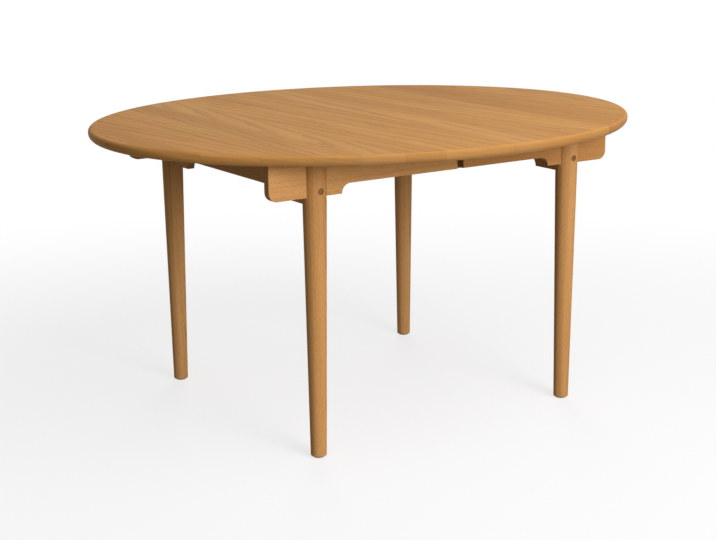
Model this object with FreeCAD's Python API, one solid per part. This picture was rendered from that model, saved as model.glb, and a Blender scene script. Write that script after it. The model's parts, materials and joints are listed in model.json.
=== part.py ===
import FreeCAD, Part
import math
import os

from FreeCAD import Vector

# Oval extending dining table in millimetres, closed, with a folding leaf stored under the top.
# The origin is on the floor under the middle of the top, +Z is up and the top draws open along X.
# The two halves are alike, half a turn about Z apart: the left one is modelled, then turned.

# Top
table_height = 720.0
top_length = 1400.0
top_width = 1190.0
top_thickness = 25.0
edge_round_above = 8.0
edge_round_below = 14.0
rim_tolerance = 1.0
seam_gap = 0.5
draw_travel = 250.0

# Legs
leg_top_diameter = 57.0
leg_foot_diameter = 37.0
leg_foot_round = 2.0
peg_diameter = 15.0
peg_height_in_rail = 15.0
peg_sink = 3.0
glide_diameter = 26.0
glide_thickness = 3.0
glide_shank_diameter = 6.0
glide_shank_length = 14.0

# Side rails, with a deep block round each leg and a break off the middle
rail_thickness = 20.0
rail_setback = 1.0
rail_depth = 65.5
block_depth = 87.5
block_overhang = 121.0
bracket_reach = 67.5
block_corner_round = 21.0
rail_break_offset = 22.5
rail_break_width = 17.0
tail_relief = 1.0
edge_ease = 1.5

# Cross rails, with a deep bracket at each leg
cross_rail_thickness = 20.0
cross_rail_depth = 87.5
cross_rail_room = 56.5
cross_bracket_depth = 109.0
cross_bracket_reach = 105.0

# Geared slides
member_thickness = 14.0
member_lip = 4.0
member_headroom = 0.5
runner_width = 18.7
runner_side_room = 4.5
upper_runner_thickness = 17.5
lower_runner_thickness = 15.5
runner_tail = 6.0
tongue_height = 7.0
tongue_depth = 6.0
slide_clearance = 0.3
runner_leg_room = 1.5
hanger_length = 34.0

# Racks and pinions, stub teeth
gear_module = 2.0
pinion_teeth = 14
pressure_angle = math.radians(20.0)
tooth_addendum = 1.6
tooth_dedendum = 2.0
tooth_backlash = 0.3
rack_width = 12.0
rack_base = 2.0
rack_spare_teeth = 3
pinion_width = 10.0
axle_diameter = 8.0
axle_collar_diameter = 13.0
axle_head_diameter = 14.0
axle_head_thickness = 3.0
axle_depth_in_member = 12.0
running_clearance = 0.05
end_clearance = 0.3

# Folding leaf, its carrier and its pivots
leaf_slip = 1.0
leaf_side_room = 3.0
leaf_end_room = 16.0
leaf_pivot_drop = 11.0
batten_width = 22.0
batten_depth = 64.0
batten_end_rise = 10.0
batten_end_taper = 45.0
batten_pivot_drop = 8.0
member_overhang = 12.0
lug_round = 7.0
lug_foot_width = 30.0
leaf_lug_length = 20.0
pivot_pin_diameter = 8.0
pivot_pin_end = 2.0
rest_width = 40.0
rest_reach = 14.0
rest_spacing = 300.0
rest_pad_thickness = 1.5
leaf_hinge_count = 3
leaf_hinge_spacing = 180.0
leaf_hinge_barrel = 14.0
leaf_hinge_depth = 16.0
leaf_hinge_link_width = 5.0
leaf_hinge_link_thickness = 2.0

# Dowels across the seam and the leaf edges
dowel_diameter = 8.0
dowel_reach = 10.0
dowel_seat = 20.0
dowel_clearance = 0.3
dowel_spacing = 180.0
dowels_each_side = 3

# Swinging latches under the seam
latch_reach = 70.0
latch_offset = 80.0
latch_swing = 75.0
latch_thickness = 4.0
latch_arm_width = 22.0
latch_tip = 12.0
latch_tab_length = 28.0
latch_tab_width = 14.0
latch_plate_diameter = 24.0
latch_plate_thickness = 3.0
latch_pivot_diameter = 6.0
latch_head_diameter = 13.0
latch_head_thickness = 3.0
keeper_diameter = 8.0
keeper_end = 2.0
keeper_end_chamfer = 1.0
keeper_clearance = 0.4

# Wood screws
screw_diameter = 5.0
screw_head_diameter = 10.0
screw_head_height = 3.0
screw_bite = 12.0
rail_screw_grip = 45.0
rail_screw_inset = 60.0
runner_screw_count = 3
runner_screw_inset = 30.0
runner_screw_spacing = 110.0
hanger_screw_spacing = 18.0
batten_screw_spacing = 16.0
batten_screw_length = 45.0

# Places worked out from the sizes above
under_z = table_height - top_thickness
block_z = under_z - block_depth
rail_z = under_z - rail_depth
cross_rail_z = under_z - cross_rail_depth
cross_bracket_z = under_z - cross_bracket_depth

leaf_length = top_width / 2
leaf_half_width = draw_travel - leaf_slip / 2
member_inner_y = leaf_length / 2 + leaf_side_room
member_outer_y = member_inner_y + member_thickness
runner_inner_y = member_outer_y + slide_clearance
runner_outer_y = runner_inner_y + runner_width
runner_middle_y = (runner_inner_y + runner_outer_y) / 2
rail_inner_y = runner_outer_y + runner_side_room
rail_outer_y = rail_inner_y + rail_thickness
leg_y = rail_inner_y + rail_thickness / 2 + rail_setback

batten_inner_x = draw_travel + leaf_end_room
batten_outer_x = batten_inner_x + batten_width
member_end_x = batten_outer_x + member_overhang
cross_rail_inner_x = member_end_x + cross_rail_room
leg_x = cross_rail_inner_x + cross_rail_thickness / 2
block_end_x = leg_x + block_overhang
bracket_end_x = leg_x - bracket_reach
cove_radius = block_depth - rail_depth
cross_bracket_y = leg_y - cross_bracket_reach
cross_cove_y = cross_bracket_y - (cross_bracket_depth - cross_rail_depth)
peg_z = block_z + peg_height_in_rail

pitch_radius = gear_module * pinion_teeth / 2
tooth_pitch = math.pi * gear_module
upper_runner_z = under_z - upper_runner_thickness
upper_pitch_z = upper_runner_z - rack_base - tooth_dedendum
pinion_z = upper_pitch_z - pitch_radius
lower_pitch_z = pinion_z - pitch_radius
lower_runner_top_z = lower_pitch_z - tooth_dedendum - rack_base
lower_runner_z = lower_runner_top_z - lower_runner_thickness
upper_tongue_z = (upper_runner_z + under_z - tail_relief - tongue_height) / 2
lower_tongue_z = (lower_runner_z + lower_runner_top_z - tongue_height) / 2
member_top_z = under_z - member_headroom
member_z = lower_tongue_z - slide_clearance - member_lip
rack_teeth = math.ceil(draw_travel / tooth_pitch) + 2 * rack_spare_teeth
rack_start_x = -rack_spare_teeth * tooth_pitch
rack_end_x = rack_start_x + rack_teeth * tooth_pitch
runner_end_x = rack_end_x + runner_tail
runner_root_x = -leg_x + leg_top_diameter / 2 + runner_leg_room

pivot_y = -leaf_length / 4
pivot_z = under_z - leaf_pivot_drop
leaf_near_y = -leaf_length / 2
leaf_far_y = leaf_near_y + leaf_length
leaf_a_top_z = under_z - 2 * leaf_pivot_drop
leaf_face_z = leaf_a_top_z - top_thickness
leaf_b_z = leaf_face_z - top_thickness
batten_top_z = pivot_z - batten_pivot_drop
batten_z = batten_top_z - batten_depth

latch_plate_z = under_z - latch_plate_thickness
latch_top_z = latch_plate_z - end_clearance
latch_z = latch_top_z - latch_thickness
latch_head_top_z = latch_z - end_clearance
latch_pivot = Vector(-latch_reach / 2, -latch_offset, 0)
latch_keeper = Vector(-latch_reach / 2, latch_offset, 0)

FRONT = -1
BACK = 1
UP = Vector(0, 0, 1)


def box(x0, x1, y0, y1, z0, z1):
    corner = Vector(min(x0, x1), min(y0, y1), min(z0, z1))
    return Part.makeBox(abs(x1 - x0), abs(y1 - y0), abs(z1 - z0), corner)


def rod(start, end, diameter):
    return Part.makeCylinder(diameter / 2, (end - start).Length, start, end - start)


def quarter(start, centre, end):
    """Quarter circle from start to end round a centre."""
    radius = (start - centre).Length
    middle = centre + ((start - centre) + (end - centre)).normalize() * radius
    return Part.Arc(start, middle, end).toShape()


def prism(edges, depth):
    return Part.Face(Part.Wire(edges)).extrude(depth)


def turned(shape):
    """The same piece on the other half of the table."""
    copy = shape.copy()
    copy.rotate(Vector(0, 0, 0), UP, 180)
    return copy


def fused(shapes):
    return shapes[0].multiFuse(shapes[1:]).removeSplitter()


def wood_screw(seat, direction, length):
    """Countersunk screw: the flat of its head at seat, its point along direction."""
    head = Part.makeCone(
        screw_head_diameter / 2, screw_diameter / 2, screw_head_height, seat, direction)
    shank = Part.makeCylinder(screw_diameter / 2, length, seat, direction)
    return fused([head, shank])


# Top halves

def rim_edges(slab, above):
    """Edges of the slab's upper face, or of its lower one."""
    middle_z = under_z + top_thickness / 2
    return [edge for edge in slab.Edges
            if edge.BoundBox.ZLength < seam_gap and (edge.BoundBox.ZMin > middle_z) == above]


def rim_ellipse():
    """Ellipse round the top, drawn from its longer axis, whichever way that runs."""
    middle = Vector(0, 0, under_z)
    along = Vector(top_length / 2, 0, 0)
    across = Vector(0, top_width / 2, 0)
    if top_width > top_length:
        return Part.Ellipse(middle + across, middle - along, middle)
    return Part.Ellipse(middle + along, middle + across, middle)


def top_blank():
    """The left half of the oval, its rim drawn as tangent arcs along an ellipse."""
    rim = [arc.toShape() for arc in rim_ellipse().toBSpline().toBiArcs(rim_tolerance)]
    slab = Part.Face(Part.Wire(rim)).extrude(UP * top_thickness)
    slab = slab.makeFillet(edge_round_above, rim_edges(slab, True))
    slab = slab.makeFillet(edge_round_below, rim_edges(slab, False))
    left_side = box(-top_length, -seam_gap / 2, -top_width, top_width, under_z, table_height)
    return slab.common(left_side)


def dowel_places():
    """Y of each dowel across the seam, spread evenly each side of the middle."""
    return [side * (place + 0.5) * dowel_spacing
            for side in (FRONT, BACK) for place in range(dowels_each_side)]


def seam_rods(inward, outward, diameter):
    middle_z = under_z + top_thickness / 2
    return [rod(Vector(-inward, y, middle_z), Vector(outward, y, middle_z), diameter)
            for y in dowel_places()]


def seam_dowels():
    return seam_rods(dowel_seat, dowel_reach, dowel_diameter)


def seam_dowel_holes():
    room = 2 * dowel_clearance
    return seam_rods(0, dowel_reach + room, dowel_diameter + room)


# Legs, pegs and glides

def leg(side):
    y = side * leg_y
    foot = Vector(-leg_x, y, glide_thickness)
    post = Part.makeCone(
        leg_foot_diameter / 2, leg_top_diameter / 2, under_z - glide_thickness, foot)
    rim = [edge for edge in post.Edges if edge.BoundBox.ZMax < glide_thickness + leg_foot_round]
    post = post.makeFillet(leg_foot_round, rim)
    bridle = box(-leg_x - leg_top_diameter, -leg_x + leg_top_diameter,
                 side * rail_inner_y, side * rail_outer_y, block_z, under_z)
    housing = box(-leg_x - cross_rail_thickness / 2, -leg_x + cross_rail_thickness / 2,
                  side * (rail_inner_y - leg_top_diameter), side * rail_inner_y,
                  cross_bracket_z, under_z)
    return post.cut([bridle, housing, peg_rod(side), glide_shank(side)])


def peg_rod(side):
    start = Vector(-leg_x, side * rail_inner_y, peg_z)
    end = Vector(-leg_x, side * (leg_y + leg_top_diameter), peg_z)
    return rod(start, end, peg_diameter)


def leg_peg(side):
    """Peg through the bridle joint, its end sunk below the round of the leg."""
    leg_taper = (leg_top_diameter - leg_foot_diameter) / (under_z - glide_thickness)
    leg_radius = (leg_foot_diameter + leg_taper * (peg_z - glide_thickness)) / 2
    start = Vector(-leg_x, side * rail_inner_y, peg_z)
    end = Vector(-leg_x, side * (leg_y + leg_radius - peg_sink), peg_z)
    return rod(start, end, peg_diameter)


def glide_shank(side):
    seat = Vector(-leg_x, side * leg_y, glide_thickness)
    return rod(seat, seat + UP * glide_shank_length, glide_shank_diameter)


def foot_glide(side):
    disc = Part.makeCylinder(
        glide_diameter / 2, glide_thickness, Vector(-leg_x, side * leg_y, 0))
    return disc.fuse(glide_shank(side)).removeSplitter()


# Rails

def eased(board):
    """A board with its long edges eased, apart from those against the top."""
    edges = [edge for edge in board.Edges
             if edge.BoundBox.YLength < edge_ease and edge.BoundBox.ZMin < under_z - edge_ease]
    return board.makeFillet(edge_ease, edges)


def rail_inner_end(side):
    """X where a left side rail stops: past the seam in front, short of it at the back."""
    return rail_break_offset if side == FRONT else -rail_break_offset - rail_break_width


def side_rail(side):
    y = side * rail_inner_y
    end_x = rail_inner_end(side)
    top_outer = Vector(-block_end_x, y, under_z)
    side_low = Vector(-block_end_x, y, block_z + block_corner_round)
    corner = Vector(-block_end_x + block_corner_round, y, block_z + block_corner_round)
    bottom_outer = Vector(-block_end_x + block_corner_round, y, block_z)
    cove_low = Vector(-bracket_end_x, y, block_z)
    cove_centre = Vector(-bracket_end_x + cove_radius, y, block_z)
    cove_high = Vector(-bracket_end_x + cove_radius, y, rail_z)
    bottom_inner = Vector(end_x, y, rail_z)
    top_inner = Vector(end_x, y, under_z)
    board = prism([
        Part.makeLine(top_outer, side_low),
        quarter(side_low, corner, bottom_outer),
        Part.makeLine(bottom_outer, cove_low),
        quarter(cove_low, cove_centre, cove_high),
        Part.makeLine(cove_high, bottom_inner),
        Part.makeLine(bottom_inner, top_inner),
        Part.makeLine(top_inner, top_outer),
    ], Vector(0, side * rail_thickness, 0))
    cuts = [peg_rod(side)] + rail_screws(side) + rail_counterbores(side)
    if end_x > 0:
        cuts.append(box(-seam_gap, end_x, y, side * rail_outer_y, under_z - tail_relief, under_z))
    return eased(board).cut(cuts)


def rail_screw_seats(side):
    y = side * (rail_inner_y + rail_thickness / 2)
    z = under_z - rail_screw_grip
    places = (
        -block_end_x + rail_screw_inset,
        -bracket_end_x + cove_radius + rail_screw_inset,
        min(rail_inner_end(side), 0) - rail_screw_inset,
    )
    return [Vector(x, y, z) for x in places]


def rail_screws(side):
    return [wood_screw(seat, UP, rail_screw_grip + screw_bite)
            for seat in rail_screw_seats(side)]


def rail_counterbores(side):
    return [rod(Vector(seat.x, seat.y, block_z), seat, screw_head_diameter)
            for seat in rail_screw_seats(side)]


def cross_rail():
    """Rail between the legs of a half, coved up from a bracket at each, drawn along X and then turned."""
    def at(x, z):
        return Vector(x, cross_rail_inner_x, z)

    def line(start, end):
        return Part.makeLine(at(*start), at(*end))

    def cove(start, centre, end):
        return quarter(at(*start), at(*centre), at(*end))

    board = prism([
        line((-rail_inner_y, under_z), (-rail_inner_y, cross_bracket_z)),
        line((-rail_inner_y, cross_bracket_z), (-cross_bracket_y, cross_bracket_z)),
        cove((-cross_bracket_y, cross_bracket_z), (-cross_cove_y, cross_bracket_z), (-cross_cove_y, cross_rail_z)),
        line((-cross_cove_y, cross_rail_z), (cross_cove_y, cross_rail_z)),
        cove((cross_cove_y, cross_rail_z), (cross_cove_y, cross_bracket_z), (cross_bracket_y, cross_bracket_z)),
        line((cross_bracket_y, cross_bracket_z), (rail_inner_y, cross_bracket_z)),
        line((rail_inner_y, cross_bracket_z), (rail_inner_y, under_z)),
        line((rail_inner_y, under_z), (-rail_inner_y, under_z)),
    ], Vector(0, cross_rail_thickness, 0))
    rail = eased(board)
    rail.rotate(Vector(0, 0, 0), UP, 90)
    return rail


# Runners, racks and hangers

def runner(side, bottom_z, top_z, tongue_z):
    body = box(runner_root_x, runner_end_x,
               side * runner_inner_y, side * runner_outer_y, bottom_z, top_z)
    tongue = box(runner_root_x, runner_end_x,
                 side * (runner_inner_y - tongue_depth), side * runner_inner_y,
                 tongue_z, tongue_z + tongue_height)
    return fused([body, tongue])


def upper_runner():
    relief = box(-seam_gap, runner_end_x, FRONT * runner_inner_y, FRONT * runner_outer_y,
                 under_z - tail_relief, under_z)
    bar = runner(FRONT, upper_runner_z, under_z, upper_tongue_z)
    return bar.cut([relief] + upper_runner_screws())


def lower_runner():
    bar = runner(BACK, lower_runner_z, lower_runner_top_z, lower_tongue_z)
    return bar.cut(hanger_screws())


def upper_runner_screws():
    start_x = runner_root_x + runner_screw_inset
    seats = [Vector(start_x + place * runner_screw_spacing, FRONT * runner_middle_y, upper_runner_z)
             for place in range(runner_screw_count)]
    return [wood_screw(seat, UP, upper_runner_thickness + screw_bite) for seat in seats]


def hanger():
    block = box(runner_root_x, runner_root_x + hanger_length,
                BACK * runner_inner_y, BACK * runner_outer_y, lower_runner_top_z, under_z)
    return block.cut(hanger_screws())


def hanger_screws():
    middle_x = runner_root_x + hanger_length / 2
    seats = [Vector(middle_x + step * hanger_screw_spacing / 2, BACK * runner_middle_y, lower_runner_z)
             for step in (-1, 1)]
    return [wood_screw(seat, UP, under_z - lower_runner_z + screw_bite) for seat in seats]


def rack(side, pitch_z, facing):
    """Toothed strip with a gap over the pinion: facing is +1 for teeth up, -1 for teeth down."""
    half_tooth = (tooth_pitch / 2 - tooth_backlash) / 2
    half_tip = half_tooth - tooth_addendum * math.tan(pressure_angle)
    half_root = half_tooth + tooth_dedendum * math.tan(pressure_angle)
    tip_z = pitch_z + facing * tooth_addendum
    root_z = pitch_z - facing * tooth_dedendum
    back_z = root_z - facing * rack_base
    y = side * (runner_middle_y - rack_width / 2)
    corners = [Vector(rack_start_x, y, back_z), Vector(rack_start_x, y, root_z)]
    for tooth in range(rack_teeth):
        x = rack_start_x + (tooth + 0.5) * tooth_pitch
        corners += [
            Vector(x - half_root, y, root_z), Vector(x - half_tip, y, tip_z),
            Vector(x + half_tip, y, tip_z), Vector(x + half_root, y, root_z),
        ]
    corners += [Vector(rack_end_x, y, root_z), Vector(rack_end_x, y, back_z), corners[0]]
    outline = Part.Face(Part.makePolygon(corners))
    return outline.extrude(Vector(0, side * rack_width, 0))


# Pinions and axles

def pinion_outline(y):
    """Teeth round the pinion, the first one pointing straight up, each flank an arc along its involute."""
    base_radius = pitch_radius * math.cos(pressure_angle)
    tip_radius = pitch_radius + tooth_addendum
    root_radius = pitch_radius - tooth_dedendum
    half_at_pitch = math.pi / 2 / pinion_teeth
    radii = [base_radius, (base_radius + tip_radius) / 2, tip_radius]

    def spot(radius, angle):
        return Vector(radius * math.sin(angle), y, pinion_z + radius * math.cos(angle))

    def half_angle(radius):
        roll = math.acos(base_radius / radius)
        return half_at_pitch + involute(pressure_angle) - involute(roll)

    edges = []
    for tooth in range(pinion_teeth):
        middle = tooth * 2 * math.pi / pinion_teeth
        rising = [spot(radius, middle - half_angle(radius)) for radius in radii]
        falling = [spot(radius, middle + half_angle(radius)) for radius in reversed(radii)]
        root_in = spot(root_radius, middle - half_angle(base_radius))
        root_out = spot(root_radius, middle + half_angle(base_radius))
        next_root = spot(root_radius, middle + 4 * half_at_pitch - half_angle(base_radius))
        edges += [
            Part.makeLine(root_in, rising[0]),
            Part.Arc(*rising).toShape(),
            Part.Arc(rising[-1], spot(tip_radius, middle), falling[0]).toShape(),
            Part.Arc(*falling).toShape(),
            Part.makeLine(falling[-1], root_out),
            Part.Arc(root_out, spot(root_radius, middle + 2 * half_at_pitch), next_root).toShape(),
        ]
    return edges


def involute(angle):
    return math.tan(angle) - angle


def pinion(side):
    inner_y = side * (runner_middle_y - pinion_width / 2)
    outer_y = side * (runner_middle_y + pinion_width / 2)
    gear = prism(pinion_outline(inner_y), Vector(0, outer_y - inner_y, 0))
    bore = rod(Vector(0, inner_y, pinion_z), Vector(0, outer_y, pinion_z),
               axle_diameter + 2 * running_clearance)
    return gear.cut(bore)


def pinion_axle(side):
    def at(y):
        return Vector(0, side * y, pinion_z)

    gear_inner_y = runner_middle_y - pinion_width / 2
    gear_outer_y = runner_middle_y + pinion_width / 2
    head_y = gear_outer_y + end_clearance
    shank = rod(at(member_outer_y - axle_depth_in_member), at(head_y), axle_diameter)
    collar = rod(at(member_outer_y), at(gear_inner_y - end_clearance), axle_collar_diameter)
    head = rod(at(head_y), at(head_y + axle_head_thickness), axle_head_diameter)
    return fused([shank, collar, head])


# Leaf carrier

def slide_member(side):
    bar = box(-member_end_x, member_end_x,
              side * member_inner_y, side * member_outer_y, member_z, member_top_z)
    grooves = [
        box(-member_end_x, member_end_x,
            side * (member_outer_y - tongue_depth), side * member_outer_y,
            tongue_z - slide_clearance, tongue_z + tongue_height + slide_clearance)
        for tongue_z in (upper_tongue_z, lower_tongue_z)]
    return bar.cut(grooves + [pinion_axle(side)] + batten_screws(side))


def batten(end):
    """Bar across the carrier, its underside tapered up towards both ends."""
    x = end * batten_inner_x
    taper_y = member_inner_y - batten_end_taper
    end_z = batten_z + batten_end_rise
    profile = Part.makePolygon([
        Vector(x, -member_inner_y, batten_top_z), Vector(x, -member_inner_y, end_z),
        Vector(x, -taper_y, batten_z), Vector(x, taper_y, batten_z),
        Vector(x, member_inner_y, end_z), Vector(x, member_inner_y, batten_top_z),
        Vector(x, -member_inner_y, batten_top_z),
    ])
    bar = Part.Face(profile).extrude(Vector(end * batten_width, 0, 0))
    return bar.cut(batten_screws(FRONT) + batten_screws(BACK))


def batten_screws(side):
    """Screws through a slide member into the ends of both battens, between its two grooves."""
    middle_x = (batten_inner_x + batten_outer_x) / 2
    seats = [Vector(end * middle_x, side * member_outer_y, pinion_z + row * batten_screw_spacing / 2)
             for end in (-1, 1) for row in (-1, 1)]
    return [wood_screw(seat, Vector(0, -side, 0), batten_screw_length) for seat in seats]


def rest_places():
    return [(end, y) for end in (-1, 1) for y in (-rest_spacing / 2, rest_spacing / 2)]


def leaf_rest(end, y):
    return box(end * (leaf_half_width - rest_reach), end * batten_inner_x,
               y - rest_width / 2, y + rest_width / 2, batten_z, leaf_b_z - rest_pad_thickness)


def rest_pad(end, y):
    return box(end * (leaf_half_width - rest_reach), end * leaf_half_width,
               y - rest_width / 2, y + rest_width / 2, leaf_b_z - rest_pad_thickness, leaf_b_z)


# Folding leaf

def leaf_board(face_z, back_z):
    """One half of the leaf, its far end rounded as the rim of the top is."""
    out = 1 if back_z > face_z else -1
    x = -leaf_half_width
    near_face = Vector(x, leaf_near_y, face_z)
    face_end = Vector(x, leaf_far_y - edge_round_above, face_z)
    face_centre = face_end + UP * out * edge_round_above
    rim_face = Vector(x, leaf_far_y, face_z + out * edge_round_above)
    rim_back = Vector(x, leaf_far_y, back_z - out * edge_round_below)
    back_centre = Vector(x, leaf_far_y - edge_round_below, back_z - out * edge_round_below)
    back_end = Vector(x, leaf_far_y - edge_round_below, back_z)
    near_back = Vector(x, leaf_near_y, back_z)
    return prism([
        Part.makeLine(near_face, face_end),
        quarter(face_end, face_centre, rim_face),
        Part.makeLine(rim_face, rim_back),
        quarter(rim_back, back_centre, back_end),
        Part.makeLine(back_end, near_back),
        Part.makeLine(near_back, near_face),
    ], Vector(2 * leaf_half_width, 0, 0))


def leaf_dowel_places():
    """Y of the dowels along a stored leaf half, so that they meet the seam's when it is open."""
    return [leaf_near_y + (place + 0.5) * dowel_spacing for place in range(dowels_each_side)]


def leaf_rods(z, inner_x, outer_x, diameter):
    return [rod(Vector(inner_x, y, z), Vector(outer_x, y, z), diameter)
            for y in leaf_dowel_places()]


def leaf_dowels(z):
    return leaf_rods(z, leaf_half_width - dowel_seat, leaf_half_width + dowel_reach, dowel_diameter)


def leaf_dowel_holes(z):
    room = 2 * dowel_clearance
    return leaf_rods(z, -leaf_half_width, -leaf_half_width + dowel_reach + room, dowel_diameter + room)


def leaf_hinge_xs():
    middle = (leaf_hinge_count - 1) / 2
    return [(place - middle) * leaf_hinge_spacing for place in range(leaf_hinge_count)]


def leaf_barrels(z):
    """Hinge barrels set into the folding edge of one leaf half."""
    return [rod(Vector(x, leaf_near_y, z), Vector(x, leaf_near_y + leaf_hinge_depth, z), leaf_hinge_barrel)
            for x in leaf_hinge_xs()]


def leaf_link(x):
    """Link across the fold from one barrel to the other, round at both ends."""
    y = leaf_near_y - leaf_hinge_link_thickness
    reach = top_thickness / 2
    bar = box(x - leaf_hinge_link_width / 2, x + leaf_hinge_link_width / 2,
              y, leaf_near_y, leaf_face_z - reach, leaf_face_z + reach)
    ends = [rod(Vector(x, y, leaf_face_z + end * reach), Vector(x, leaf_near_y, leaf_face_z + end * reach),
                leaf_hinge_link_width) for end in (-1, 1)]
    return fused([bar] + ends)


def leaf_half(face_z, back_z):
    middle_z = (face_z + back_z) / 2
    board = leaf_board(face_z, back_z)
    return board.cut(leaf_dowels(middle_z) + leaf_dowel_holes(middle_z) + leaf_barrels(middle_z))


def pivot_lug(start_x, end_x, foot_z):
    """Lug that stands on a foot and rounds over the leaf's pivot pin."""
    half_foot = lug_foot_width / 2
    left_foot = Vector(start_x, pivot_y - half_foot, foot_z)
    right_foot = Vector(start_x, pivot_y + half_foot, foot_z)
    right_side = Vector(start_x, pivot_y + lug_round, pivot_z)
    crown = Vector(start_x, pivot_y, pivot_z + lug_round)
    left_side = Vector(start_x, pivot_y - lug_round, pivot_z)
    body = prism([
        Part.makeLine(left_foot, right_foot),
        Part.makeLine(right_foot, right_side),
        Part.Arc(right_side, crown, left_side).toShape(),
        Part.makeLine(left_side, left_foot),
    ], Vector(end_x - start_x, 0, 0))
    bore = rod(Vector(start_x, pivot_y, pivot_z), Vector(end_x, pivot_y, pivot_z),
               pivot_pin_diameter + 2 * running_clearance)
    return body.cut(bore)


def leaf_lug(end):
    return pivot_lug(end * (leaf_half_width - leaf_lug_length), end * leaf_half_width, leaf_a_top_z)


def batten_lug(end):
    return pivot_lug(end * batten_inner_x, end * batten_outer_x, batten_top_z)


def pivot_pin(end):
    inner = Vector(end * (leaf_half_width - leaf_lug_length - pivot_pin_end), pivot_y, pivot_z)
    outer = Vector(end * (batten_outer_x + pivot_pin_end), pivot_y, pivot_z)
    return rod(inner, outer, pivot_pin_diameter)


# Latches

def latch_pivot_screw():
    head_z = latch_head_top_z - latch_head_thickness
    shank = rod(latch_pivot + UP * head_z, latch_pivot + UP * (under_z + screw_bite), latch_pivot_diameter)
    head = rod(latch_pivot + UP * head_z, latch_pivot + UP * latch_head_top_z, latch_head_diameter)
    return fused([shank, head])


def latch_plate():
    disc = rod(latch_pivot + UP * latch_plate_z, latch_pivot + UP * under_z, latch_plate_diameter)
    return disc.cut(latch_pivot_screw())


def latch_lever():
    """Flat lever with a curved hook slot, swung clear of the seam."""
    def at(x, y, z):
        return Vector(latch_pivot.x + x, latch_pivot.y + y, z)

    def disc(x, y, diameter):
        return rod(at(x, y, latch_z), at(x, y, latch_top_z), diameter)

    def bar(x0, x1, half_width):
        low = at(x0, -half_width, latch_z)
        high = at(x1, half_width, latch_top_z)
        return box(low.x, high.x, low.y, high.y, low.z, high.z)

    slot_width = keeper_diameter + 2 * keeper_clearance
    tip_x = latch_reach + latch_tip - latch_arm_width / 2
    tab_x = -latch_tab_length + latch_tab_width / 2
    blank = fused([
        disc(0, 0, latch_plate_diameter),
        bar(0, tip_x, latch_arm_width / 2),
        disc(tip_x, 0, latch_arm_width),
        bar(tab_x, 0, latch_tab_width / 2),
        disc(tab_x, 0, latch_tab_width),
    ])
    ring = disc(0, 0, 2 * latch_reach + slot_width).cut(disc(0, 0, 2 * latch_reach - slot_width))
    leading_side = box(at(latch_reach - latch_arm_width, 0, 0).x, at(latch_reach + latch_arm_width, 0, 0).x,
                       at(0, -latch_arm_width, 0).y, latch_pivot.y, latch_z, latch_top_z)
    pivot_hole = disc(0, 0, latch_pivot_diameter + 2 * running_clearance)
    lever = blank.cut([ring.common(leading_side), disc(latch_reach, 0, slot_width), pivot_hole])
    lever.rotate(latch_pivot, UP, latch_swing)
    return lever


def keeper_post():
    """Round post that the other half's latch hooks round."""
    end = latch_keeper + UP * (latch_z - keeper_end)
    post = rod(end, latch_keeper + UP * (under_z + screw_bite), keeper_diameter)
    rim = [edge for edge in post.Edges if edge.BoundBox.ZMax < latch_z]
    return post.makeChamfer(keeper_end_chamfer, rim)


def keeper_plate():
    disc = rod(latch_keeper + UP * latch_plate_z, latch_keeper + UP * under_z, latch_plate_diameter)
    return disc.cut(keeper_post())


# Assembly

def left_pieces():
    runner_screw_set = upper_runner_screws() + hanger_screws()
    rail_screw_set = rail_screws(FRONT) + rail_screws(BACK)
    fixings = runner_screw_set + rail_screw_set + [latch_pivot_screw(), keeper_post()]
    return {
        "left_top": top_blank().cut(fixings),
        "left_front_leg": leg(FRONT),
        "left_back_leg": leg(BACK),
        "left_leg_pegs": Part.makeCompound([leg_peg(FRONT), leg_peg(BACK)]),
        "left_foot_glides": Part.makeCompound([foot_glide(FRONT), foot_glide(BACK)]),
        "left_front_rail": side_rail(FRONT),
        "left_back_rail": side_rail(BACK),
        "left_cross_rail": cross_rail(),
        "left_rail_screws": Part.makeCompound(rail_screw_set),
        "left_runner_screws": Part.makeCompound(runner_screw_set),
        "left_hanger": hanger(),
        "front_upper_runner": upper_runner(),
        "front_upper_rack": rack(FRONT, upper_pitch_z, -1),
        "back_lower_runner": lower_runner(),
        "back_lower_rack": rack(BACK, lower_pitch_z, 1),
        "front_latch_plate": latch_plate(),
        "front_latch_screw": latch_pivot_screw(),
        "front_latch_lever": latch_lever(),
        "back_latch_keeper": Part.makeCompound([keeper_plate(), keeper_post()]),
    }


def other_half_name(name):
    swaps = {"left": "right", "front": "back", "back": "front"}
    return "_".join(swaps.get(word, word) for word in name.split("_"))


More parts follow.
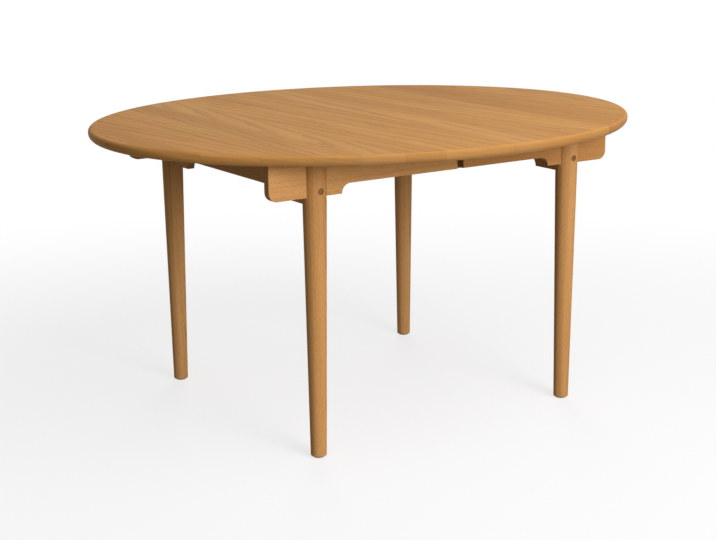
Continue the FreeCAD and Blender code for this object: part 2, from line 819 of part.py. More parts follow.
def carrier_pieces():
    leaf_a_middle_z = (leaf_face_z + leaf_a_top_z) / 2
    leaf_b_middle_z = (leaf_face_z + leaf_b_z) / 2
    pieces = {
        "left_batten": batten(-1),
        "right_batten": batten(1),
        "batten_screws": Part.makeCompound(batten_screws(FRONT) + batten_screws(BACK)),
        "leaf_rests": Part.makeCompound([leaf_rest(*place) for place in rest_places()]),
        "leaf_rest_pads": Part.makeCompound([rest_pad(*place) for place in rest_places()]),
        "leaf_half_a": leaf_half(leaf_face_z, leaf_a_top_z),
        "leaf_half_b": leaf_half(leaf_face_z, leaf_b_z),
        "leaf_dowels": Part.makeCompound(leaf_dowels(leaf_a_middle_z) + leaf_dowels(leaf_b_middle_z)),
        "leaf_hinge_barrels": Part.makeCompound(
            leaf_barrels(leaf_a_middle_z) + leaf_barrels(leaf_b_middle_z)),
        "leaf_hinge_links": Part.makeCompound([leaf_link(x) for x in leaf_hinge_xs()]),
        "leaf_pivot_lugs": Part.makeCompound([leaf_lug(end) for end in (-1, 1)]),
        "batten_pivot_lugs": Part.makeCompound([batten_lug(end) for end in (-1, 1)]),
        "leaf_pivot_pins": Part.makeCompound([pivot_pin(end) for end in (-1, 1)]),
    }
    for name, side in (("front", FRONT), ("back", BACK)):
        pieces[name + "_slide_member"] = slide_member(side)
        pieces[name + "_pinion_axle"] = pinion_axle(side)
        pieces[name + "_pinion"] = pinion(side)
    return pieces


def table_pieces():
    pieces = left_pieces()
    for name, shape in left_pieces().items():
        pieces[other_half_name(name)] = turned(shape)
    dowels = seam_dowels()
    pieces["left_top"] = pieces["left_top"].cut(dowels)
    pieces["right_top"] = pieces["right_top"].cut(seam_dowel_holes())
    pieces["seam_dowels"] = Part.makeCompound(dowels)
    pieces.update(carrier_pieces())
    return pieces


os.makedirs("parts", exist_ok=True)
for node, solid in table_pieces().items():
    solid.exportStep("parts/" + node + ".step")
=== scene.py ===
import json
import math

import bmesh
import bpy
from mathutils import Euler, Matrix, Vector


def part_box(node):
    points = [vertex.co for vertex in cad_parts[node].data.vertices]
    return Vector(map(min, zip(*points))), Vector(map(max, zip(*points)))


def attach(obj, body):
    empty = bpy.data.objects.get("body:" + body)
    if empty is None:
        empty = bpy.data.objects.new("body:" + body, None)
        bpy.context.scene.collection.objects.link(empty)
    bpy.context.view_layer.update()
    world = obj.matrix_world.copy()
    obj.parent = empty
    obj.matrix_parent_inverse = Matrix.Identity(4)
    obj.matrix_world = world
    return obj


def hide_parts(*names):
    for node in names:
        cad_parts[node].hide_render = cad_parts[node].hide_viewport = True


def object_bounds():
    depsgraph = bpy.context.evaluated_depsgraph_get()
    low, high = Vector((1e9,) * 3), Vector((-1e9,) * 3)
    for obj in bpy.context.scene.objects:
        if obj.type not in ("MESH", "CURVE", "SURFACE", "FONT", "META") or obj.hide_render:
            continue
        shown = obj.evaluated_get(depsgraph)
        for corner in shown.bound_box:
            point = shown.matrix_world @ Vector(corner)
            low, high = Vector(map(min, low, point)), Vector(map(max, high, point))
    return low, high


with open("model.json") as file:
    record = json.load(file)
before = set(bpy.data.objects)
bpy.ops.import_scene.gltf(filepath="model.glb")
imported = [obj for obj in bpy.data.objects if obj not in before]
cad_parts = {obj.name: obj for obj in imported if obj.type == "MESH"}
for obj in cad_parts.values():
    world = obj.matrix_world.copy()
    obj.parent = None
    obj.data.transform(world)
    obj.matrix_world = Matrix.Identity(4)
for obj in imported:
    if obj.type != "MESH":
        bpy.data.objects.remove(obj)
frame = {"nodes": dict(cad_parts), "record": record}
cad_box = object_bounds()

# Oval oak dining table with a folding leaf under its top, in metres.
# Every piece keeps its solid shape and gets its finish here. Only the wood screws are made again.

# Picture frame and camera
PICTURE_WIDTH = 716
PICTURE_HEIGHT = 540
FOCAL_PIXELS = 1454.78
OPTICAL_CENTRE = (355.76, 263.60)
SENSOR_WIDTH = 36.0
CAMERA_PLACE = (-2.02225, -3.02903, 1.22102)
CAMERA_YAW = math.radians(33.3358)
CAMERA_PITCH = math.radians(13.6809)
CAMERA_ROLL = math.radians(-0.5833)

# Studio
WHITE = (1.0, 1.0, 1.0)
FLOOR_SIZE = 400.0
FLOOR_DROP = 0.0005
FLOOR_GLOW = 0.72
FLOOR_GREY = 0.9
FLOOR_BOUNCE = 0.25
SHADOW_REACH = (0.9, 2.6)
SKY_STRENGTH = 0.22
LAMP_TARGET = (0.0, 0.0, 0.55)
LAMPS = {
    "key_lamp": {"place": (0.2, -5.6, 2.1), "size": 3.0, "power": 270.0, "mirrored": True},
    "top_lamp": {"place": (0.4, -1.6, 2.6), "size": 2.4, "power": 30.5, "mirrored": True},
    "fill_lamp": {"place": (-3.4, -1.8, 1.6), "size": 2.5, "power": 6.0, "mirrored": True},
    "back_lamp": {"place": (2.6, 4.0, 1.7), "size": 2.5, "power": 110.0, "mirrored": False},
}

# Wood colours
TOP_PALE = (0.640, 0.330, 0.102)
TOP_DEEP = (0.430, 0.190, 0.046)
OAK_PALE = (0.640, 0.336, 0.124)
OAK_DEEP = (0.430, 0.195, 0.058)
OAK_PORE = (0.190, 0.080, 0.026)
OAK_WARM = (1.0, 0.86, 0.62)
END_GRAIN = (0.73, 0.73, 0.80)
PEG_PALE = (0.360, 0.180, 0.068)
PEG_DEEP = (0.230, 0.100, 0.036)
BEECH_PALE = (0.700, 0.480, 0.290)
BEECH_DEEP = (0.560, 0.350, 0.190)
BEECH_FLECK = (0.330, 0.170, 0.080)

# Boards: a plain board counts as one stave, wider than any piece of the table
TOP_STAVES = 16
TOP_STAVE_CONTRAST = 0.42
ONE_BOARD = 2.0
LEAF_PATTERN_CENTRE = (0.0, 0.0, 0.1)
CROSS_RAIL_CENTRE = (0.0, 0.0, 0.65)
FIRST_BOARD_SEED = 30.0
BOARD_SEED_STEP = 0.5
# Tone of each leg and side rail: partly each board's own tone, partly painted shade and painted light
# standing in for how much light falls on it. The front legs and the right front rail are darker, the left
# front rail paler.
BOARD_TONE_AND_PAINTED_SHADE = {
    "left_front_leg": 0.20, "right_front_leg": 0.15, "left_back_leg": -0.05, "right_back_leg": -0.08,
    "left_front_rail": -0.15, "right_front_rail": 0.50, "left_back_rail": 0.20, "right_back_rail": -0.10,
}

# Turn that lays the grain, which the timber pattern runs along Y, along each axis of the table
GRAIN_TURN = {
    "X": (0.0, 0.0, math.pi / 2),
    "Y": (0.0, 0.0, 0.0),
    "Z": (-math.pi / 2, 0.0, 0.0),
}

# Growth rings: where the pith lies beside and below a board, how it strays, and the early part of a ring
STAVE_KEY_STEP = 1.37
PITH_ASIDE = (0.06, 0.18)
PITH_BELOW = (0.11, 0.25)
PITH_LEAN = 0.03
PITH_WANDER = 0.02
WANDER_KEY_STEP = 9.1
WANDER_RATE = 2.2
WANDER_SLICE = 0.3
RIPPLE_RATES = (60.0, 5.0, 60.0)
RIPPLE_DEPTH = 0.002
EARLY_WOOD_FADE = (0.55, 0.02)

# Marks in the wood: how often they come in a metre, and the values between which they fade in
STREAK_RING_RATE = 85.0
STREAK_GRAIN_RATE = 0.9
STREAK_FADE = (0.30, 0.72)
FIBRE_RATES = (900.0, 14.0, 900.0)
RAY_RATES = (260.0, 42.0, 260.0)
RAY_FADE = (0.42, 0.12)
PORE_RATE = 1400.0
PORE_FADE = (0.52, 0.22)
LATE_WOOD_PORES = 0.2
GLUE_FADE = (0.0006, 0.0001)
END_FADE = (0.35, 0.95)

# How far the marks deepen, darken, roughen and raise the wood
STREAK_DEPTH = 0.46
RING_DEPTH = 0.20
FIBRE_DEPTH = 0.16
RAY_DEPTH = -0.10
PORE_DARKNESS = 0.75
GLUE_DARKNESS = 0.30
FIBRE_ROUGHNESS = (0.46, 0.56)
PORE_ROUGHNESS = 0.22
FIBRE_RISE = 0.12
TIMBER_RELIEF = {"strength": 0.5, "distance": 0.0003}
OILED_GLOSS = 0.03

# Metal and moulded finishes
MARK_FADE = (0.2, 0.8)
SMOOTHER_MARK = -0.08
ROUGHER_MARK = 0.12
MARK_RELIEF = 0.35
ZINC = {
    "base": (0.62, 0.62, 0.60), "shade": (0.50, 0.51, 0.52), "metallic": 1.0, "roughness": 0.32,
    "mark_width": 0.0004, "mark_stretch": 14.0, "blotch_size": 0.012, "mark_depth": 0.00004,
}
BRASS = {
    "base": (0.78, 0.56, 0.25), "shade": (0.62, 0.41, 0.16), "metallic": 1.0, "roughness": 0.30,
    "mark_width": 0.0003, "mark_stretch": 10.0, "blotch_size": 0.010, "mark_depth": 0.00004,
}
NYLON = {
    "base": (0.78, 0.76, 0.69), "shade": (0.70, 0.67, 0.58), "metallic": 0.0, "roughness": 0.42,
    "mark_width": 0.0006, "mark_stretch": 1.5, "blotch_size": 0.016, "mark_depth": 0.00006,
}

# Felt
FELT_DARK = (0.10, 0.065, 0.042)
FELT_PALE = (0.26, 0.18, 0.12)
FELT_TANGLE_RATE = 2600.0
FELT_CLUMP_RATE = 340.0
FELT_TANGLE_SHARE = 0.6
FELT_ROUGHNESS = 0.95
FELT_SHEEN = 0.3
FELT_RELIEF = {"strength": 0.8, "distance": 0.0006}

# Screws: the blank's short shank ends, and is drawn out from, so many head heights below its rim
SCREW_SIZES = {
    "Head Width": 0.010, "Head Height": 0.003, "Shank Width": 0.005, "Tip Length": 0.006,
    "Recess Length": 0.0056, "Recess Width": 0.0012, "Recess Depth": 0.0016,
}
SCREW_SIDES = 24
BLANK_SHANK_END = 2.0
DRAWN_FROM = 1.5
TIP_BLUNTNESS = 0.15
SHARP_EDGE = math.radians(35)
MERGE_DISTANCE = 1e-6
SAME_LEVEL = 1e-5

# Sockets of a Mix node that mixes colours
MIX_SHARE = 0
MIX_FIRST = 6
MIX_SECOND = 7
MIX_RESULT = 2


class Wiring:
    """Places nodes in a tree and joins them."""

    def __init__(self, tree):
        self.tree = tree

    def add(self, kind, inputs=None, **settings):
        """A node with these settings, each input set to a value or joined to another node's output."""
        node = self.tree.nodes.new(kind)
        for name, value in settings.items():
            setattr(node, name, value)
        for name, value in (inputs or {}).items():
            self.feed(node.inputs[name], value)
        return node

    def feed(self, socket, value):
        if isinstance(value, bpy.types.NodeSocket):
            self.tree.links.new(value, socket)
        else:
            socket.default_value = value

    def maths(self, operation, *values):
        return self.add("ShaderNodeMath", dict(enumerate(values)), operation=operation).outputs[0]

    def summed(self, first, *others):
        for value in others:
            first = self.maths("ADD", first, value)
        return first

    def between(self, share, low, high):
        """Low where the share is 0, high where it is 1."""
        return self.maths("MULTIPLY_ADD", share, high - low, low)

    def centred(self, share, width):
        """A share from 0 to 1 as a swing of that width about 0."""
        return self.maths("MULTIPLY", self.maths("SUBTRACT", share, 0.5), width)

    def spread(self, value, low, high, to_low=0.0, to_high=1.0):
        """The value's stretch from low to high, laid smoothly on another stretch."""
        return self.add("ShaderNodeMapRange", {
            "Value": value, "From Min": low, "From Max": high, "To Min": to_low, "To Max": to_high},
            interpolation_type="SMOOTHSTEP").outputs[0]

    def vector_maths(self, operation, *values):
        return self.add("ShaderNodeVectorMath", dict(enumerate(values)), operation=operation).outputs[0]

    def scaled(self, vector, share):
        return self.add("ShaderNodeVectorMath", {0: vector, "Scale": share}, operation="SCALE").outputs[0]

    def length(self, vector):
        return self.add("ShaderNodeVectorMath", {0: vector}, operation="LENGTH").outputs["Value"]

    def split(self, vector):
        return self.add("ShaderNodeSeparateXYZ", {"Vector": vector}).outputs

    def joined(self, x, y, z):
        return self.add("ShaderNodeCombineXYZ", {"X": x, "Y": y, "Z": z}).outputs[0]

    def noise(self, vector, detail=2.0, roughness=0.5):
        return self.add("ShaderNodeTexNoise", {
            "Vector": vector, "Scale": 1.0, "Detail": detail, "Roughness": roughness}).outputs[0]

    def cells(self, vector):
        """Distance from the middle of the nearest scattered cell."""
        return self.add("ShaderNodeTexVoronoi", {"Vector": vector, "Scale": 1.0}).outputs["Distance"]

    def mixed(self, share, first, second, blend="MIX"):
        return self.add("ShaderNodeMix", {MIX_SHARE: share, MIX_FIRST: first, MIX_SECOND: second},
                        data_type="RGBA", blend_type=blend).outputs[MIX_RESULT]


def colour(rgb):
    return (*rgb, 1.0)


def cleared(owner):
    """The wiring of a material's or a world's tree, with nothing in it."""
    owner.use_nodes = True
    owner.node_tree.nodes.clear()
    return Wiring(owner.node_tree)


def shader_group(name, inputs, outputs):
    """An empty group with its sockets: returns the group, its wiring, and its two ends."""
    group = bpy.data.node_groups.new(name, "ShaderNodeTree")
    for socket, kind in inputs.items():
        group.interface.new_socket(socket, in_out="INPUT", socket_type=kind)
    for socket, kind in outputs.items():
        group.interface.new_socket(socket, in_out="OUTPUT", socket_type=kind)
    wiring = Wiring(group)
    return group, wiring, wiring.add("NodeGroupInput").outputs, wiring.add("NodeGroupOutput").inputs


def drawn_lots(w, across, given):
    """The stave that a place lies in: the place in it from -0.5 to 0.5, its key, and what chance gives it."""
    counted = w.maths("DIVIDE", across, given["Stave Width"])
    number = w.maths("FLOOR", counted)
    key = w.maths("MULTIPLY_ADD", number, STAVE_KEY_STEP, given["Seed"])
    dice = w.add("ShaderNodeTexWhiteNoise", {"W": key}, noise_dimensions="1D").outputs
    pith_side, pith_depth, lean = w.split(dice["Color"])
    return {"place": w.maths("SUBTRACT", w.maths("SUBTRACT", counted, number), 0.5), "key": key,
            "tone": dice["Value"], "pith_side": pith_side, "pith_depth": pith_depth, "lean": lean}


def ring_radius(w, place, stave, width):
    """Distance from a pith that lies outside the board, leans and wanders along the grain."""
    axes = w.split(place)
    strayed = w.noise(w.joined(
        w.maths("MULTIPLY", stave["key"], WANDER_KEY_STEP),
        w.maths("MULTIPLY", axes["Y"], WANDER_RATE),
        WANDER_SLICE))
    aside = w.summed(
        w.maths("MULTIPLY", stave["place"], width),
        w.between(stave["pith_side"], *PITH_ASIDE),
        w.centred(strayed, PITH_WANDER))
    below = w.summed(
        w.between(stave["pith_depth"], *PITH_BELOW),
        axes["Z"],
        w.maths("MULTIPLY", axes["Y"], w.centred(stave["lean"], PITH_LEAN)))
    ripple = w.noise(w.vector_maths("MULTIPLY", place, RIPPLE_RATES), detail=3.0)
    return w.summed(w.length(w.joined(aside, below, 0.0)), w.centred(ripple, RIPPLE_DEPTH))


def pore_dashes(w, place, early_wood, length):
    """Short dashes along the grain, thick in the early wood of each ring."""
    rates = w.joined(PORE_RATE, w.maths("DIVIDE", 1.0, length), PORE_RATE)
    dash = w.spread(w.cells(w.vector_maths("MULTIPLY", place, rates)), *PORE_FADE)
    return w.maths("MULTIPLY", dash, w.between(early_wood, LATE_WOOD_PORES, 1.0))


def timber_figure():
    """Sawn and oiled wood with its grain along Y, in staves across X: rings, streaks, pores, glue lines."""
    number, point, tint = "NodeSocketFloat", "NodeSocketVector", "NodeSocketColor"
    group, w, given, result = shader_group(
        "timber figure",
        {"Vector": point, "Stave Width": number, "Ring Width": number, "Seed": number,
         "Stave Contrast": number, "Tone": number, "Pore Share": number, "Pore Length": number,
         "Glue Line": number, "End": number, "Pale": tint, "Deep": tint, "Pore": tint},
        {"Color": tint, "Roughness": number, "Height": number})
    place = given["Vector"]
    width = given["Stave Width"]
    axes = w.split(place)

    # Each stave comes from its own place in the tree
    stave = drawn_lots(w, axes["X"], given)
    radius = ring_radius(w, place, stave, width)
    ring = w.maths("FRACT", w.maths("DIVIDE", radius, given["Ring Width"]))
    early_wood = w.spread(ring, *EARLY_WOOD_FADE)

    # Broad streaks follow the rings and fine fibres the grain; rays are faint pale lenses
    streak = w.noise(w.joined(
        w.maths("MULTIPLY", radius, STREAK_RING_RATE),
        w.maths("MULTIPLY", axes["Y"], STREAK_GRAIN_RATE),
        stave["key"]), detail=3.0, roughness=0.6)
    fibre = w.noise(w.vector_maths("MULTIPLY", place, FIBRE_RATES))
    ray = w.spread(w.cells(w.vector_maths("MULTIPLY", place, RAY_RATES)), *RAY_FADE)
    pore = w.maths("MULTIPLY", pore_dashes(w, place, early_wood, given["Pore Length"]), given["Pore Share"])
    from_edge = w.maths("SUBTRACT", 0.5, w.maths("ABSOLUTE", stave["place"]))
    glue = w.spread(w.maths("MULTIPLY", from_edge, width), *GLUE_FADE)
    glue = w.maths("MULTIPLY", glue, given["Glue Line"])

    # The wood's own colour, then the warmer staves, the darker ends, and the pores and glue lines
    deepness = w.summed(
        w.maths("MULTIPLY", w.spread(streak, *STREAK_FADE), STREAK_DEPTH),
        w.maths("MULTIPLY", early_wood, RING_DEPTH),
        w.maths("MULTIPLY", fibre, FIBRE_DEPTH),
        w.centred(stave["tone"], given["Stave Contrast"]),
        w.maths("MULTIPLY", ray, RAY_DEPTH),
        given["Tone"])
    deepness = w.add("ShaderNodeClamp", {"Value": deepness}).outputs[0]
    wood = w.mixed(deepness, given["Pale"], given["Deep"])
    warmth = w.maths("MULTIPLY", stave["lean"], given["Stave Contrast"])
    wood = w.mixed(warmth, wood, colour(OAK_WARM), "MULTIPLY")
    wood = w.mixed(w.spread(given["End"], *END_FADE), wood, colour(END_GRAIN), "MULTIPLY")
    dark = w.maths(
        "MAXIMUM", w.maths("MULTIPLY", pore, PORE_DARKNESS), w.maths("MULTIPLY", glue, GLUE_DARKNESS))
    w.feed(result["Color"], w.mixed(dark, wood, given["Pore"]))

    dry = w.maths("MULTIPLY_ADD", pore, PORE_ROUGHNESS, w.between(fibre, *FIBRE_ROUGHNESS))
    w.feed(result["Roughness"], dry)
    raised = w.maths("MULTIPLY", fibre, FIBRE_RISE)
    w.feed(result["Height"], w.maths("SUBTRACT", raised, w.maths("MAXIMUM", pore, glue)))
    return group


def handled_surface():
    """Fine marks drawn out along X and soft blotches, for metal and moulded pieces."""
    number = "NodeSocketFloat"
    group, w, given, result = shader_group(
        "handled surface",
        {"Vector": "NodeSocketVector", "Mark Width": number, "Mark Stretch": number, "Blotch Size": number},
        {"Marks": number, "Blotches": number})
    fine = w.maths("DIVIDE", 1.0, given["Mark Width"])
    drawn = w.joined(w.maths("DIVIDE", fine, given["Mark Stretch"]), fine, fine)
    marks = w.noise(w.vector_maths("MULTIPLY", given["Vector"], drawn), detail=3.0, roughness=0.6)
    coarse = w.maths("DIVIDE", 1.0, given["Blotch Size"])
    w.feed(result["Marks"], marks)
    w.feed(result["Blotches"], w.noise(w.scaled(given["Vector"], coarse), detail=3.0))
    return group


TIMBER = timber_figure()
HANDLED = handled_surface()


def new_material(name):
    """A material with only a shader: returns it, its wiring, the shader, and the piece's coordinates."""
    material = bpy.data.materials.new(name)
    wiring = cleared(material)
    shader = wiring.add("ShaderNodeBsdfPrincipled")
    wiring.add("ShaderNodeOutputMaterial", {"Surface": shader.outputs[0]})
    return material, wiring, shader, wiring.add("ShaderNodeTexCoord").outputs


def bumped(wiring, shader, height, strength, distance):
    bump = wiring.add("ShaderNodeBump", {"Strength": strength, "Distance": distance, "Height": height})
    wiring.feed(shader.inputs["Normal"], bump.outputs[0])


def timber(name, grain, pale, deep, pore, centre=(0.0, 0.0, 0.0), stave_width=None, ring_width=0.0030,
           seed=0.0, stave_contrast=0.0, tone=0.0, pore_share=0.85, pore_length=0.009, glue_line=0.0):
    """Wood in staves of that width, with a joint at the centre, or else in one board about its centre."""
    material, w, shader, coordinates = new_material(name)
    aside = 0.0 if stave_width else ONE_BOARD / 2
    laid = w.add("ShaderNodeMapping", {
        "Vector": w.vector_maths("SUBTRACT", coordinates["Object"], centre),
        "Rotation": GRAIN_TURN[grain], "Location": (aside, 0.0, 0.0)}).outputs[0]
    facing = w.split(coordinates["Normal"])[grain]
    figure = w.add("ShaderNodeGroup", {
        "Vector": laid, "Stave Width": stave_width or ONE_BOARD, "Ring Width": ring_width, "Seed": seed,
        "Stave Contrast": stave_contrast, "Tone": tone, "Pore Share": pore_share,
        "Pore Length": pore_length, "Glue Line": glue_line, "End": w.maths("ABSOLUTE", facing),
        "Pale": colour(pale), "Deep": colour(deep), "Pore": colour(pore)}, node_tree=TIMBER)
    w.feed(shader.inputs["Base Color"], figure.outputs["Color"])
    w.feed(shader.inputs["Roughness"], figure.outputs["Roughness"])
    shader.inputs["Specular IOR Level"].default_value = OILED_GLOSS
    bumped(w, shader, figure.outputs["Height"], **TIMBER_RELIEF)
    return material


def oak(name, grain, **choices):
    return timber(name, grain, OAK_PALE, OAK_DEEP, OAK_PORE, **choices)


def top_oak(name, stave, **choices):
    """Oak in glued staves across the table, for the top and the leaf."""
    return timber(name, "Y", TOP_PALE, TOP_DEEP, OAK_PORE, stave_width=stave,
                  stave_contrast=TOP_STAVE_CONTRAST, glue_line=1.0, **choices)


def beech(name, grain, seed):
    return timber(name, grain, BEECH_PALE, BEECH_DEEP, BEECH_FLECK, seed=seed, ring_width=0.0042,
                  pore_share=0.5, pore_length=0.0032)


def handled(name, base, shade, metallic, roughness, mark_width, mark_stretch, blotch_size, mark_depth):
    """A metal or moulded finish with fine marks along X and a slow change of shade."""
    material, w, shader, coordinates = new_material(name)
    surface = w.add("ShaderNodeGroup", {
        "Vector": coordinates["Object"], "Mark Width": mark_width, "Mark Stretch": mark_stretch,
        "Blotch Size": blotch_size}, node_tree=HANDLED).outputs
    w.feed(shader.inputs["Base Color"], w.mixed(surface["Blotches"], colour(base), colour(shade)))
    w.feed(shader.inputs["Roughness"], w.spread(
        surface["Marks"], *MARK_FADE, roughness + SMOOTHER_MARK, roughness + ROUGHER_MARK))
    shader.inputs["Metallic"].default_value = metallic
    bumped(w, shader, surface["Marks"], MARK_RELIEF, mark_depth)
    return material


def pressed_felt():
    material, w, shader, coordinates = new_material("pressed felt")
    tangle = w.noise(w.scaled(coordinates["Object"], FELT_TANGLE_RATE), detail=4.0, roughness=0.7)
    clump = w.noise(w.scaled(coordinates["Object"], FELT_CLUMP_RATE))
    nap = w.summed(
        w.maths("MULTIPLY", tangle, FELT_TANGLE_SHARE), w.maths("MULTIPLY", clump, 1.0 - FELT_TANGLE_SHARE))
    w.feed(shader.inputs["Base Color"], w.mixed(nap, colour(FELT_DARK), colour(FELT_PALE)))
    shader.inputs["Roughness"].default_value = FELT_ROUGHNESS
    shader.inputs["Sheen Weight"].default_value = FELT_SHEEN
    bumped(w, shader, nap, **FELT_RELIEF)
    return material


def leg_and_rail_finishes():
    """Each leg and side rail is a board of its own, with a tone that is partly its own and partly painted
    shade and painted light.
    """
    worn = {}
    seed = FIRST_BOARD_SEED
    for half in ("left", "right"):
        for side in ("front", "back"):
            for part, grain in (("leg", "Z"), ("rail", "X")):
                words = (half, side, part)
                node = "_".join(words)
                low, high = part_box(node)
                # The tone is partly painted shade and painted light on this piece
                worn[node] = oak(" ".join(words) + " oak", grain, seed=seed, tone=BOARD_TONE_AND_PAINTED_SHADE[node],
                                 centre=tuple((low + high) / 2))
                seed += BOARD_SEED_STEP
    return worn


def table_finishes():
    """Every node of the table with the material it wears."""
    lo, hi = cad_box
    stave = (hi.x - lo.x) / TOP_STAVES
    top = top_oak("top oak", stave, seed=4.0)
    leaf = top_oak("leaf oak", stave, seed=21.0, centre=LEAF_PATTERN_CENTRE)
    cross = oak("cross rail oak", "Y", seed=7.0, centre=CROSS_RAIL_CENTRE)
    peg = timber("peg oak", "Y", PEG_PALE, PEG_DEEP, OAK_PORE, seed=2.0, ring_width=0.002)
    runner = beech("slide beech", "X", seed=3.0)
    batten = beech("batten beech", "Y", seed=8.0)
    zinc = handled("bright zinc", **ZINC)
    brass = handled("satin brass", **BRASS)
    nylon = handled("natural nylon", **NYLON)
    felt = pressed_felt()
    worn = {
        "left_top": top, "right_top": top, "leaf_half_a": leaf, "leaf_half_b": leaf,
        "left_cross_rail": cross, "right_cross_rail": cross,
        "left_leg_pegs": peg, "right_leg_pegs": peg,
        "left_batten": batten, "right_batten": batten, "leaf_rests": batten,
        "leaf_rest_pads": felt, "left_foot_glides": felt, "right_foot_glides": felt,
        "leaf_hinge_barrels": brass, "leaf_hinge_links": brass,
    }
    worn.update(leg_and_rail_finishes())
    by_slot = {"slide_beech": runner, "gear_nylon": nylon, "zinc_steel": zinc}
    for piece in frame["record"]["subparts"]:
        if piece["node"] not in worn:
            worn[piece["node"]] = by_slot[piece["material_slot"]]
    return worn


def dress(finishes):
    for node, material in finishes.items():
        mesh = frame["nodes"][node].data
        mesh.materials.clear()
        mesh.materials.append(material)


def chosen(wiring, index, values):
    """The value at that index."""
    switch = wiring.add("GeometryNodeIndexSwitch", data_type="FLOAT")
    while len(switch.index_switch_items) < len(values):
        switch.index_switch_items.new()
    wiring.feed(switch.inputs["Index"], index)
    for place, value in enumerate(values):
        wiring.feed(switch.inputs[str(place)], value)
    return switch.outputs[0]


def named_value(wiring, name, kind):
    return wiring.add("GeometryNodeInputNamedAttribute", {"Name": name}, data_type=kind).outputs[0]


def screw_tree():
    """Countersunk screws with a cross recess, one at each point, drawn out along its aim to its own grip."""
    tree = bpy.data.node_groups.new("wood screws", "GeometryNodeTree")
    tree.interface.new_socket("Seats", in_out="INPUT", socket_type="NodeSocketGeometry")
    for name in SCREW_SIZES:
        tree.interface.new_socket(name, in_out="INPUT", socket_type="NodeSocketFloat")
    tree.interface.new_socket("Finish", in_out="INPUT", socket_type="NodeSocketMaterial")
    tree.interface.new_socket("Screws", in_out="OUTPUT", socket_type="NodeSocketGeometry")
    w = Wiring(tree)
    given = w.add("NodeGroupInput").outputs
    result = w.add("NodeGroupOutput").inputs

    # Turned blank: head rim, neck, end of the shank, tip
    head_height = given["Head Height"]
    shank_end = w.maths("MULTIPLY", head_height, BLANK_SHANK_END)
    tip = w.maths("ADD", shank_end, given["Tip Length"])
    head_radius = w.maths("MULTIPLY", given["Head Width"], 0.5)
    shank_radius = w.maths("MULTIPLY", given["Shank Width"], 0.5)
    tip_radius = w.maths("MULTIPLY", shank_radius, TIP_BLUNTNESS)
    heights = (0.0, head_height, shank_end, tip)
    radii = (head_radius, shank_radius, shank_radius, tip_radius)
    index = w.add("GeometryNodeInputIndex").outputs[0]
    radius = chosen(w, index, radii)
    line = w.add("GeometryNodeMeshLine", {"Count": len(heights)})
    path = w.add("GeometryNodeMeshToCurve", {"Mesh": line.outputs[0]})
    path = w.add("GeometryNodeSetPosition", {
        "Geometry": path.outputs[0], "Position": w.joined(0.0, 0.0, chosen(w, index, heights))})
    path = w.add("GeometryNodeSetCurveRadius", {"Curve": path.outputs[0], "Radius": radius})
    circle = w.add("GeometryNodeCurvePrimitiveCircle", {"Resolution": SCREW_SIDES, "Radius": 1.0})
    blank = w.add("GeometryNodeCurveToMesh", {
        "Curve": path.outputs[0], "Profile Curve": circle.outputs[0], "Scale": radius, "Fill Caps": True})

    # Cross recess in the head, by two blocks that stand half out of it
    long, wide = given["Recess Length"], given["Recess Width"]
    deep = w.maths("MULTIPLY", given["Recess Depth"], 2.0)
    cut = w.add("GeometryNodeMeshBoolean", {"Mesh 1": blank.outputs[0]},
                operation="DIFFERENCE", solver="EXACT")
    for block in (w.joined(long, wide, deep), w.joined(wide, long, deep)):
        slot = w.add("GeometryNodeMeshCube", {"Size": block})
        tree.links.new(slot.outputs[0], cut.inputs["Mesh 2"])

    # What lies past the neck is drawn out once the screws stand in their seats
    level = w.split(w.add("GeometryNodeInputPosition").outputs[0])["Z"]
    past_neck = w.maths("GREATER_THAN", level, w.maths("MULTIPLY", head_height, DRAWN_FROM))
    marked = w.add("GeometryNodeStoreNamedAttribute", {
        "Geometry": cut.outputs[0], "Name": "past_neck", "Value": past_neck},
        data_type="FLOAT", domain="POINT")
    aim = named_value(w, "aim", "FLOAT_VECTOR")
    turn = w.add("FunctionNodeAlignRotationToVector", {"Vector": aim}, axis="Z").outputs[0]
    placed = w.add("GeometryNodeInstanceOnPoints", {
        "Points": given["Seats"], "Instance": marked.outputs[0], "Rotation": turn})
    real = w.add("GeometryNodeRealizeInstances", {"Geometry": placed.outputs[0]})
    short_by = w.maths("SUBTRACT", named_value(w, "grip", "FLOAT"), tip)
    pull = w.scaled(aim, w.maths("MULTIPLY", named_value(w, "past_neck", "FLOAT"), short_by))
    drawn = w.add("GeometryNodeSetPosition", {"Geometry": real.outputs[0], "Offset": pull})
    finish = w.add("GeometryNodeSetMaterial", {"Geometry": drawn.outputs[0], "Material": given["Finish"]})
    w.feed(result["Screws"], finish.outputs[0])
    return tree


def islands(node):
    """Vertex places of each separate solid in a node."""
    shape = bmesh.new()
    shape.from_mesh(frame["nodes"][node].data)
    bmesh.ops.remove_doubles(shape, verts=shape.verts, dist=MERGE_DISTANCE)
    left = set(shape.verts)
    found = []
    while left:
        reached = [left.pop()]
        for vert in reached:
            for edge in vert.link_edges:
                other = edge.other_vert(vert)
                if other in left:
                    left.remove(other)
                    reached.append(other)
        found.append([vert.co.copy() for vert in reached])
    shape.free()
    return sorted(found, key=lambda points: tuple(box_middle(points)))


def box_corners(points):
    low = Vector(min(p[axis] for p in points) for axis in range(3))
    high = Vector(max(p[axis] for p in points) for axis in range(3))
    return low, high


def box_middle(points):
    low, high = box_corners(points)
    return (low + high) / 2


def screw_seat(points):
    """Where one screw's head sits, which way it points, and how long it is."""
    low, high = box_corners(points)
    middle = box_middle(points)
    spans = list(high - low)
    axis = spans.index(max(spans))

    def reach(level):
        return max((p - middle).length for p in points if abs(p[axis] - level) < SAME_LEVEL)

    head_low = reach(low[axis]) > reach(high[axis])
    seat = middle.copy()
    seat[axis] = low[axis] if head_low else high[axis]
    aim = Vector((0.0, 0.0, 0.0))
    aim[axis] = 1.0 if head_low else -1.0
    return seat, aim, spans[axis]


